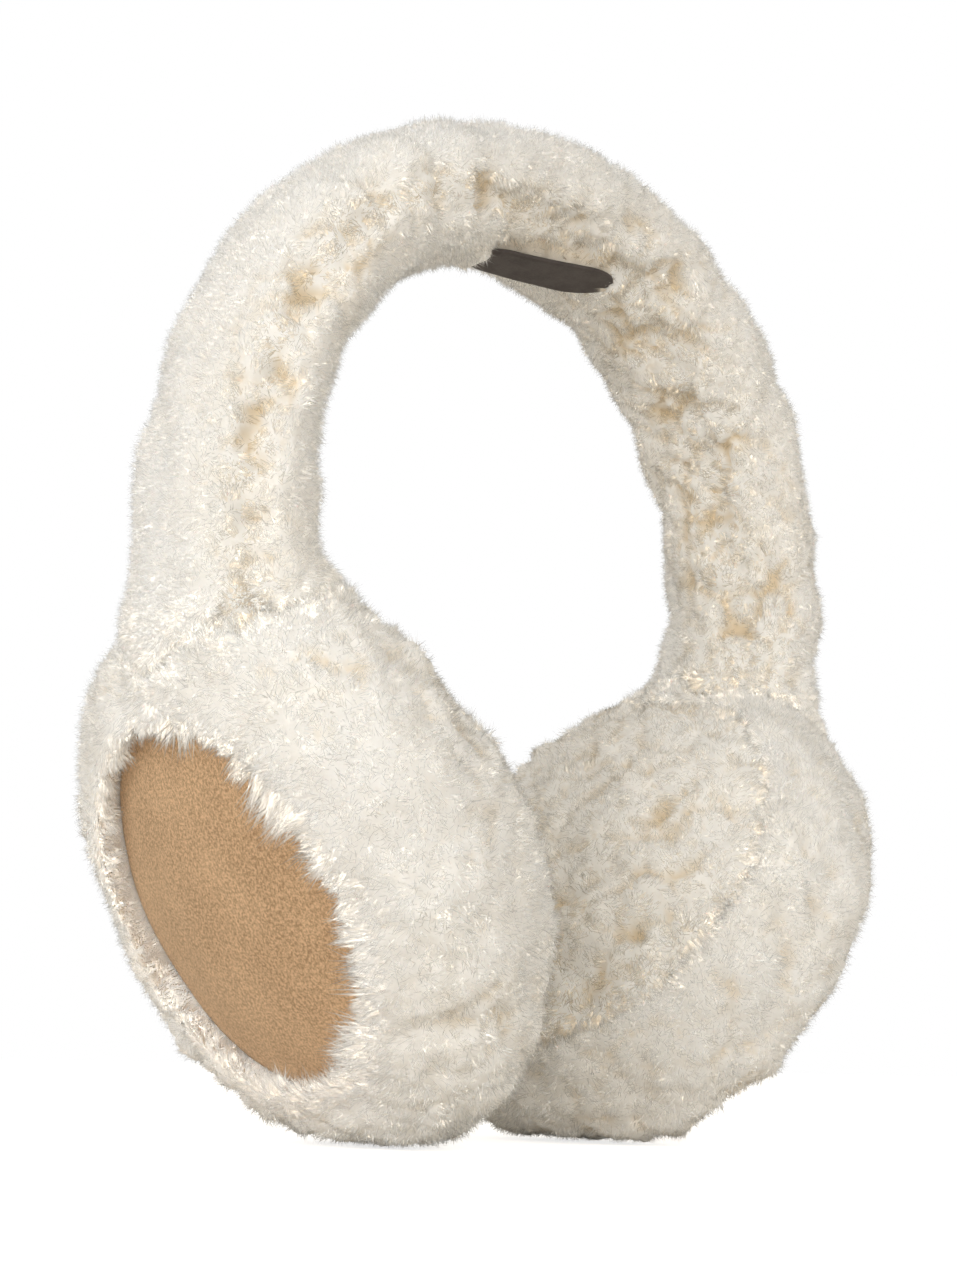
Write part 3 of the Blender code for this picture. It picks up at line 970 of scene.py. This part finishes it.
def make_fringe(side, pelt, random):
    """Longer tufts on the lip that hang in over the suede's edge, longest at the front."""
    node = f"{side}_cup_gusset"
    points = mesh_points(pelt["mesh"])
    radius, _, height = cup_places(node, points)
    on_lip = (np.abs(radius - SUEDE_RADIUS + 0.5 * MM) < 3.5 * MM) & (height > -1.0 * MM)
    some = dict(pelt, open=pelt["open"] * on_lip)
    roots, facing, _ = scatter(some, FRINGE_FIBRES, random)
    _, outward, _ = cup_places(node, roots)
    axis = disc_axis(side)
    front = 0.5 - 0.5 * outward[:, 1]
    loose = warped(roots, 6.0 * MM, 1.0 * MM, seed=101)
    tuft, shares, _, _ = nearest_locks(loose, FRINGE_TUFT_PITCH, seed=103)
    reach = (FRINGE_LENGTH + FRINGE_FRONT_LENGTH * front) * (0.35 + 1.0 * shares[:, 0])
    reach *= 0.70 + 0.35 * random.random(len(roots))
    sway = flattened(shares * 2.0 - 1.0, facing) * 0.35 + random.normal(size=roots.shape) * 0.28
    way = unit(-outward * 0.95 + axis * (0.25 + 0.35 * front)[:, None] + sway)
    pull = (tuft - roots) * 0.60
    starts = roots - facing * ROOT_DEPTH
    tips = roots + way * reach[:, None] + pull - axis * ((pull @ axis)[:, None])
    width = FIBRE_WIDTH * (1.5 + 0.6 * random.random(len(roots)))
    shade = unit(facing * (0.4 + 0.6 * front)[:, None] + axis)
    warm = 0.02 + 0.10 * shares[:, 1]
    fold = np.tile(axis, (len(roots), 1))
    mesh, shades = fibre_mesh(f"{side}_lip_fringe", starts, tips, fold, width, shade, warm, warm * 0.2)
    fringe = new_piece(f"{side}_lip_fringe", mesh, PILE_FINISH)
    mesh.normals_split_custom_set_from_vertices(shades)
    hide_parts(node)
    soften_shade(fringe)


# Suede disc and leather tab


def revolve_mesh(name, profile, sides):
    """A closed mesh turned from a profile that starts and ends on the axis."""
    shape = bmesh.new()
    rings = []
    for radius, height in profile:
        if radius == 0.0:
            rings.append([shape.verts.new((0.0, 0.0, height))])
            continue
        angles = [2.0 * math.pi * k / sides for k in range(sides)]
        ring = [(radius * math.cos(a) * CUP_DEPTH_SHARE, radius * math.sin(a), height) for a in angles]
        rings.append([shape.verts.new(p) for p in ring])
    for low, high in zip(rings, rings[1:]):
        for k in range(sides):
            j = (k + 1) % sides
            if len(low) == 1:
                shape.faces.new((low[0], high[k], high[j]))
            elif len(high) == 1:
                shape.faces.new((low[k], low[j], high[0]))
            else:
                shape.faces.new((low[k], low[j], high[j], high[k]))
    bmesh.ops.recalc_face_normals(shape, faces=shape.faces)
    mesh = bpy.data.meshes.new(name)
    shape.to_mesh(mesh)
    shape.free()
    return mesh


def make_suede(side):
    """The suede disc: a gentle dome that is a little slack."""
    node = f"{side}_suede_disc"
    rows = 30
    outer = []
    for k in range(rows + 1):
        share = k / rows
        outer.append((SUEDE_RADIUS * share, SUEDE_DOME * (1.0 - share**2)))
    inner = [(radius, height - SUEDE_THICKNESS) for radius, height in outer]
    mesh = revolve_mesh(f"{side}_suede", outer + inner[::-1], sides=96)
    points = mesh_points(mesh)
    broad = soft_noise(points, 17.0 * MM, seed=91) * 0.25 * MM
    fine = soft_noise(points, 7.0 * MM, seed=93) * 0.10 * MM
    points[:, 2] += broad + fine
    matrix = disc_frame(node)
    placed = np.array([matrix @ Vector(p) for p in points])
    placed += np.array(matrix.col[2])[:3] * disc_offset(node, matrix)
    mesh.vertices.foreach_set("co", placed.astype(np.float32).ravel())
    mesh.update()
    disc = new_piece(f"{side}_suede", mesh, SUEDE_FINISH)
    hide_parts(node)


def disc_offset(node, matrix):
    """How far the disc's outer edge lies from its middle point, along the axis."""
    points = mesh_points(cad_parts[node].data)
    back = np.array(matrix.inverted())
    heights = points @ back[2, :3] + back[2, 3]
    return heights.max() - SUEDE_DOME


def make_tab():
    """The leather tab: a thin bowed strip with rounded corners, drawn out longer at its right end."""
    edge = TAB_EDGE_ROUND
    half_width = TAB_WIDTH / 2
    profile = [
        (-half_width + edge * 0.3, -edge * 0.1),
        (-half_width + edge, 0.0),
        (-half_width / 3, TAB_CROWN),
        (half_width / 3, TAB_CROWN),
        (half_width - edge, 0.0),
        (half_width - edge * 0.3, -edge * 0.1),
        (half_width, -edge),
        (half_width, -TAB_THICKNESS + edge),
        (half_width - edge, -TAB_THICKNESS),
        (-half_width + edge, -TAB_THICKNESS),
        (-half_width, -TAB_THICKNESS + edge),
        (-half_width, -edge),
    ]
    half = TAB_LENGTH / 2
    rings = []
    for along in np.linspace(-half, half, 61):
        point, normal = section_point(TAB_SHIFT + along, TAB_ANGLE + TAB_TWIST * along / TAB_LENGTH)
        across = (Vector((0.0, 1.0, 0.0)) - normal * normal.y).normalized()
        corner = TAB_LEFT_CORNER if along < 0 else TAB_RIGHT_CORNER
        past = max(abs(along) - half + corner, 0.0) / corner
        narrow = math.sqrt(1.0 - 0.95 * past**2)
        face = tab_face(along)
        ring = [point + across * (wide * narrow) + normal * (face + high) for wide, high in profile]
        rings.append([STANCE @ p for p in ring])
    shape = bmesh.new()
    made = [[shape.verts.new(p) for p in ring] for ring in rings]
    sides = len(profile)
    for low, high in zip(made, made[1:]):
        for k in range(sides):
            j = (k + 1) % sides
            shape.faces.new((low[k], low[j], high[j], high[k]))
    for ring in (made[0], made[-1]):
        shape.faces.new(ring)
    bmesh.ops.recalc_face_normals(shape, faces=shape.faces)
    mesh = bpy.data.meshes.new("leather_strip")
    shape.to_mesh(mesh)
    shape.free()
    strip = new_piece("leather_strip", mesh, LEATHER_FINISH)
    soften = strip.modifiers.new("soften", "SUBSURF")
    soften.levels = 1
    soften.render_levels = 1
    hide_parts("leather_tab")


# The pieces


def dress_sleeve():
    """The sleeve's wool, with painted tan shade beside the seam, where the parted wool also shows its tan
    roots. The pile is in two pieces, left and right.
    """
    random = np.random.default_rng(SLEEVE_SEED)
    pelt = make_pelt("sleeve_pelt", "headband_sleeve", curl_on_sleeve)
    roots, facing, values = scatter(pelt, SLEEVE_FIBRES, random)
    right = right_share(roots)
    # Painted shade: tan laid along the seam, wider down the right side, partly the tan roots showing where
    # the wool parts.
    near_seam = np.exp(-((seam_gap(roots) / (4.0 * MM + 7.0 * MM * right)) ** 2))
    values["tan"] = (0.75 - 0.2 * right) * near_seam
    values["lift"] = np.zeros((len(roots), 3))
    down = hanging(facing)
    for side, half in (("left", roots[:, 0] < 0), ("right", roots[:, 0] >= 0)):
        some = {key: value[half] for key, value in values.items()}
        name = f"sleeve_pile_{side}"
        make_pile(name, "headband_sleeve", roots[half], facing[half], some, down[half], random)


def dress_gusset(side):
    """The wool round the cup. At the lip it is combed in towards the suede, and shaded as the lip's face."""
    random = np.random.default_rng(CUP_SEEDS[side])
    node = f"{side}_cup_gusset"
    pelt = make_pelt(f"{node}_pelt", node, curl_on_cup)
    roots, facing, values = scatter(pelt, GUSSET_FIBRES, random)
    radius, outward, _ = cup_places(node, roots)
    at_lip = 1.0 - smooth_step((radius - SUEDE_RADIUS) / (7.0 * MM))
    comb = flattened(-outward, facing) * at_lip[:, None]
    values["tan"] = np.zeros(len(roots))
    values["lift"] = disc_axis(side) * at_lip[:, None]
    make_pile(f"{node}_pile", node, roots, facing, values, comb, random)
    make_fringe(side, pelt, random)


def dress_pad(side):
    """The wool panel on the ear's side, with a painted tan shade over it that deepens towards its foot."""
    random = np.random.default_rng(CUP_SEEDS[side])
    node = f"{side}_ear_pad"
    pelt = make_pelt(f"{node}_pelt", node, curl_on_pad)
    roots, facing, values = scatter(pelt, PAD_FIBRES, random)
    # Painted shade: tan over the whole pad, deepest towards its foot.
    low = smooth_step((55.0 * MM - roots[:, 2]) / (45.0 * MM))
    values["tan"] = 0.28 + 0.5 * low
    values["lift"] = np.zeros((len(roots), 3))
    make_pile(f"{node}_pile", node, roots, facing, values, hanging(facing), random)


make_camera()
make_studio()
dress_sleeve()
for side in ("left", "right"):
    dress_gusset(side)
    dress_pad(side)
    make_suede(side)
make_tab()
